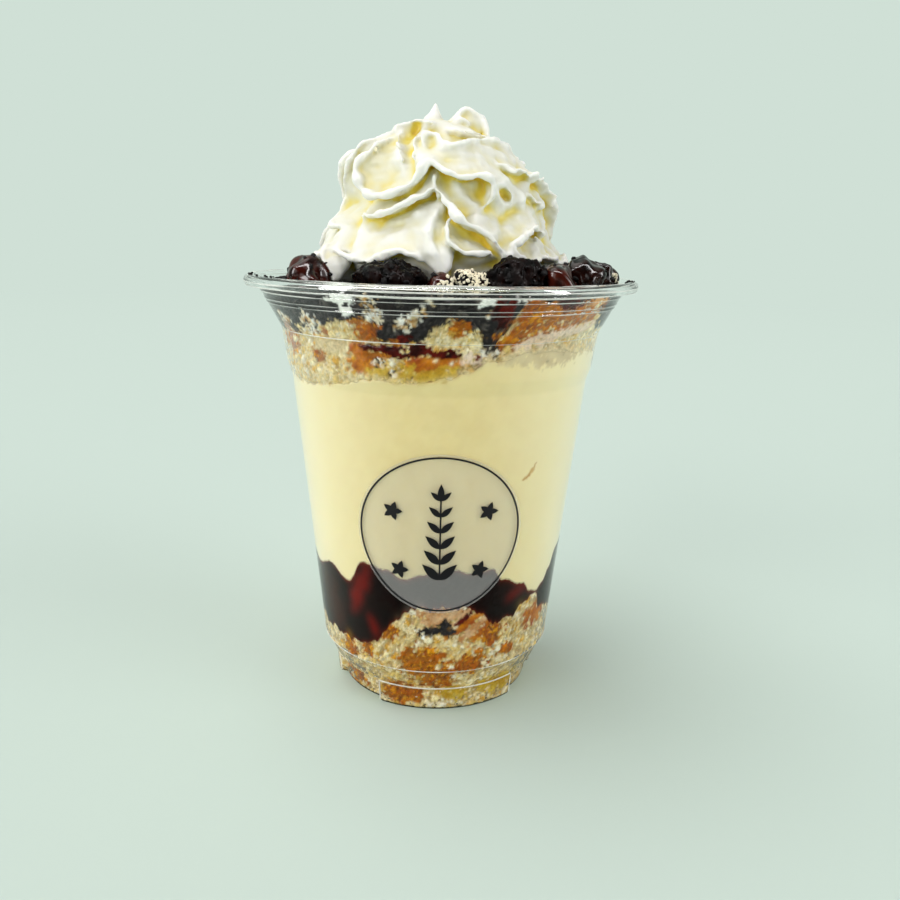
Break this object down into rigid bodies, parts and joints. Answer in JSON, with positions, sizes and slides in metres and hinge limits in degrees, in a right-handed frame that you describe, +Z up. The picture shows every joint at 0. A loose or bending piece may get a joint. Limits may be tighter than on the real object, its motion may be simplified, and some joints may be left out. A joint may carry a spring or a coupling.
{
  "type": "cookies and cream parfait",
  "caption": "Layered parfait of cake crumbs, fudge, custard, cake and cookie in a clear tapered cup, with cookie pieces round the rim and a piped swirl of whipped cream on top.",
  "frame": {"origin": "centre of the cup's foot, on the plane it stands on", "axes": "+Z up along the cup's axis, towards the swirl; -Y is the front, where the round label is"},
  "size_m": [0.098, 0.098, 0.148],
  "materials": {
    "cup": "clear gloss",
    "label": "satin",
    "cake": "matte",
    "fudge": "gloss",
    "custard": "satin",
    "cookie": "matte",
    "glaze": "gloss",
    "cream": "satin"
  },
  "bodies": {
    "root": {"cup": "cup", "label": "label", "cake_base": "cake", "fudge_layer": "fudge", "custard": "custard", "cake_upper": "cake", "cookie_layer": "cookie", "glazed_chunk_left": "glaze", "cookie_chunk_front": "cookie", "glazed_drop_front": "glaze", "crumbed_chunk_front": "cookie", "cookie_chunk_right": "cookie", "glazed_chunk_right": "glaze", "cookie_chunk_side": "cookie", "cookie_nub_large": "cookie", "cookie_nub_small": "cookie", "cookie_chunk_back_1": "cookie", "cookie_chunk_back_2": "cookie", "cookie_chunk_back_3": "cookie", "cookie_chunk_back_4": "cookie", "cookie_chunk_back_5": "cookie", "cookie_chunk_back_6": "cookie", "cookie_chunk_back_7": "cookie", "cookie_chunk_back_8": "cookie", "cookie_chunk_back_9": "cookie", "cookie_chunk_back_10": "cookie", "whipped_cream": "cream"}
  },
  "joints": []
}
